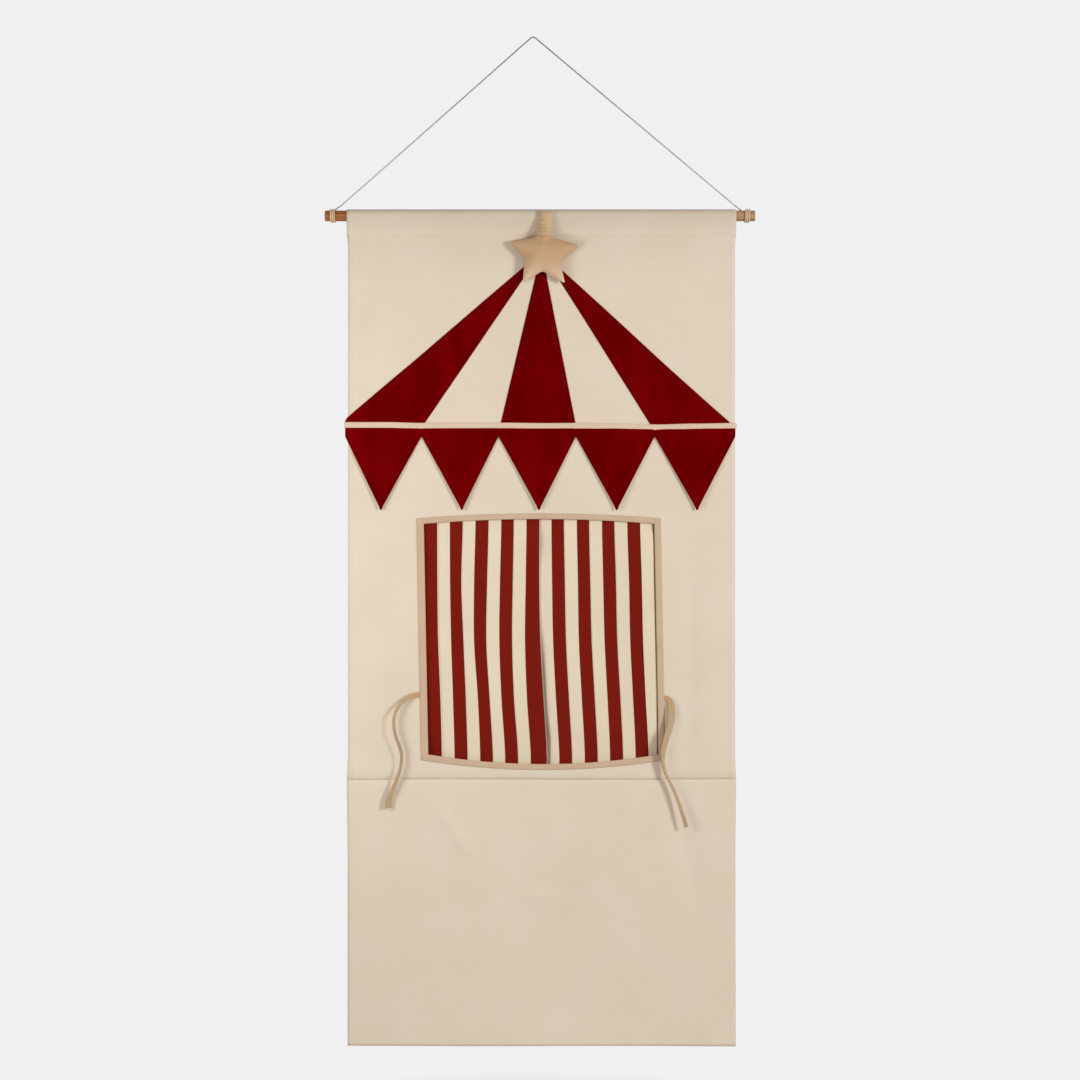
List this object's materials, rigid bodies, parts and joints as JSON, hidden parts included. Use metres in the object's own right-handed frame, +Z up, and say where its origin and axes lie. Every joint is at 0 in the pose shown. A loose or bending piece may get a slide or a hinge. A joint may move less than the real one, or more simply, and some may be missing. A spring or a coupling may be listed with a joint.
{
  "type": "hanging puppet theatre",
  "caption": "Canvas wall-hanging puppet theatre on a wooden dowel and cord, with velvet roof and pennants, a stuffed star and a striped curtain behind a bound stage window.",
  "frame": {"origin": "the point where the hanging cord rests on the nail or hook, at the cord's underside", "axes": "+Z up, the front of the theatre faces -Y, +X is the viewer's right"},
  "size_m": [0.8, 0.0421, 1.8782],
  "materials": {
    "dowel_wood": "oiled mid-brown hardwood, satin",
    "cord": "twisted cotton cord, off-white",
    "canvas": "unbleached plain-weave cotton canvas, matt",
    "red_velvet": "dark red cotton velvet with a soft sheen",
    "edge_tape": "woven beige cotton tape, matt",
    "star_cloth": "beige brushed cotton, matt",
    "curtain_red": "printed rust-red stripe on cotton",
    "curtain_cream": "cream cotton, matt"
  },
  "bodies": {
    "cord": {"hanging_cord": "cord", "left_cord_winding": "cord", "right_cord_winding": "cord"},
    "dowel": {"dowel": "dowel_wood"},
    "banner": {"upper_panel": "canvas", "lower_panel": "canvas", "roof_left": "red_velvet", "roof_centre": "red_velvet", "roof_right": "red_velvet", "eave_tape": "edge_tape", "star": "star_cloth", "window_binding_top": "edge_tape", "window_binding_bottom": "edge_tape", "window_binding_left": "edge_tape", "window_binding_right": "edge_tape", "left_tie": "edge_tape", "right_tie": "edge_tape", "curtain_header_tape": "canvas"},
    "pennant_1": {"pennant_1": "red_velvet"},
    "pennant_2": {"pennant_2": "red_velvet"},
    "pennant_3": {"pennant_3": "red_velvet"},
    "pennant_4": {"pennant_4": "red_velvet"},
    "pennant_5": {"pennant_5": "red_velvet"},
    "left_curtain_heading": {"left_curtain_heading": "curtain_cream"},
    "left_curtain_1": {"left_curtain_1_red": "curtain_red", "left_curtain_1_cream": "curtain_cream"},
    "left_curtain_2": {"left_curtain_2_red": "curtain_red", "left_curtain_2_cream": "curtain_cream"},
    "left_curtain_3": {"left_curtain_3_red": "curtain_red", "left_curtain_3_cream": "curtain_cream"},
    "left_curtain_4": {"left_curtain_4_red": "curtain_red", "left_curtain_4_cream": "curtain_cream"},
    "left_curtain_5": {"left_curtain_5_red": "curtain_red"},
    "right_curtain_heading": {"right_curtain_heading": "curtain_cream"},
    "right_curtain_1": {"right_curtain_1_cream": "curtain_cream", "right_curtain_1_red": "curtain_red"},
    "right_curtain_2": {"right_curtain_2_cream": "curtain_cream", "right_curtain_2_red": "curtain_red"},
    "right_curtain_3": {"right_curtain_3_cream": "curtain_cream", "right_curtain_3_red": "curtain_red"},
    "right_curtain_4": {"right_curtain_4_cream": "curtain_cream", "right_curtain_4_red": "curtain_red"},
    "right_curtain_5": {"right_curtain_5_cream": "curtain_cream"}
  },
  "joints": [
    {"name": "dowel_turn", "type": "hinge", "parent": "cord", "child": "dowel", "pos_m": [0.013, 0, -0.331], "axis": [1, 0, 0], "range_deg": [-90, 90]},
    {"name": "banner_slide", "type": "slide", "parent": "dowel", "child": "banner", "axis": [1, 0, 0], "range_m": [-0.015, 0.009]},
    {"name": "pennant_1_lift", "type": "hinge", "parent": "banner", "child": "pennant_1", "pos_m": [-0.27835, -0.0039, -0.7258], "axis": [-1, 0, 0], "range_deg": [0, 150]},
    {"name": "pennant_2_lift", "type": "hinge", "parent": "banner", "child": "pennant_2", "pos_m": [-0.13569, -0.0039, -0.7258], "axis": [-1, 0, 0], "range_deg": [0, 150]},
    {"name": "pennant_3_lift", "type": "hinge", "parent": "banner", "child": "pennant_3", "pos_m": [0.00769, -0.0039, -0.7258], "axis": [-1, 0, 0], "range_deg": [0, 150]},
    {"name": "pennant_4_lift", "type": "hinge", "parent": "banner", "child": "pennant_4", "pos_m": [0.15289, -0.0039, -0.7258], "axis": [-1, 0, 0], "range_deg": [0, 150]},
    {"name": "pennant_5_lift", "type": "hinge", "parent": "banner", "child": "pennant_5", "pos_m": [0.30136, -0.0039, -0.7258], "axis": [-1, 0, 0], "range_deg": [0, 150]},
    {"name": "left_curtain_swing", "type": "hinge", "parent": "banner", "child": "left_curtain_heading", "pos_m": [-0.0902, 0.0061, -0.877], "axis": [1, 0, 0], "range_deg": [0, 80]},
    {"name": "left_curtain_gather", "type": "hinge", "parent": "left_curtain_heading", "child": "left_curtain_1", "pos_m": [-0.1982, 0.0041, -1.131], "axis": [0, 0, 1], "range_deg": [0, 80]},
    {"name": "left_curtain_fold_2", "type": "hinge", "parent": "left_curtain_1", "child": "left_curtain_2", "pos_m": [-0.1502, 0.0048, -1.131], "axis": [0, 0, 1], "range_deg": [-160, 0]},
    {"name": "left_curtain_fold_3", "type": "hinge", "parent": "left_curtain_2", "child": "left_curtain_3", "pos_m": [-0.1022, 0.0049, -1.131], "axis": [0, 0, 1], "range_deg": [0, 160]},
    {"name": "left_curtain_fold_4", "type": "hinge", "parent": "left_curtain_3", "child": "left_curtain_4", "pos_m": [-0.0542, 0.0048, -1.131], "axis": [0, 0, 1], "range_deg": [-160, 0]},
    {"name": "left_curtain_fold_5", "type": "hinge", "parent": "left_curtain_4", "child": "left_curtain_5", "pos_m": [-0.0062, 0.0049, -1.131], "axis": [0, 0, 1], "range_deg": [0, 160]},
    {"name": "right_curtain_swing", "type": "hinge", "parent": "banner", "child": "right_curtain_heading", "pos_m": [0.1258, 0.0061, -0.877], "axis": [1, 0, 0], "range_deg": [0, 80]},
    {"name": "right_curtain_gather", "type": "hinge", "parent": "right_curtain_heading", "child": "right_curtain_1", "pos_m": [0.2338, 0.0041, -1.131], "axis": [0, 0, -1], "range_deg": [0, 80]},
    {"name": "right_curtain_fold_2", "type": "hinge", "parent": "right_curtain_1", "child": "right_curtain_2", "pos_m": [0.1858, 0.0048, -1.131], "axis": [0, 0, -1], "range_deg": [-160, 0]},
    {"name": "right_curtain_fold_3", "type": "hinge", "parent": "right_curtain_2", "child": "right_curtain_3", "pos_m": [0.1378, 0.0049, -1.131], "axis": [0, 0, -1], "range_deg": [0, 160]},
    {"name": "right_curtain_fold_4", "type": "hinge", "parent": "right_curtain_3", "child": "right_curtain_4", "pos_m": [0.0898, 0.0048, -1.131], "axis": [0, 0, -1], "range_deg": [-160, 0]},
    {"name": "right_curtain_fold_5", "type": "hinge", "parent": "right_curtain_4", "child": "right_curtain_5", "pos_m": [0.0418, 0.0049, -1.131], "axis": [0, 0, -1], "range_deg": [0, 160]}
  ],
  "couplings": [
    {"joint": "left_curtain_fold_2", "follows": "left_curtain_gather", "ratio": -2},
    {"joint": "left_curtain_fold_3", "follows": "left_curtain_gather", "ratio": 2},
    {"joint": "left_curtain_fold_4", "follows": "left_curtain_gather", "ratio": -2},
    {"joint": "left_curtain_fold_5", "follows": "left_curtain_gather", "ratio": 2},
    {"joint": "right_curtain_fold_2", "follows": "right_curtain_gather", "ratio": -2},
    {"joint": "right_curtain_fold_3", "follows": "right_curtain_gather", "ratio": 2},
    {"joint": "right_curtain_fold_4", "follows": "right_curtain_gather", "ratio": -2},
    {"joint": "right_curtain_fold_5", "follows": "right_curtain_gather", "ratio": 2}
  ]
}
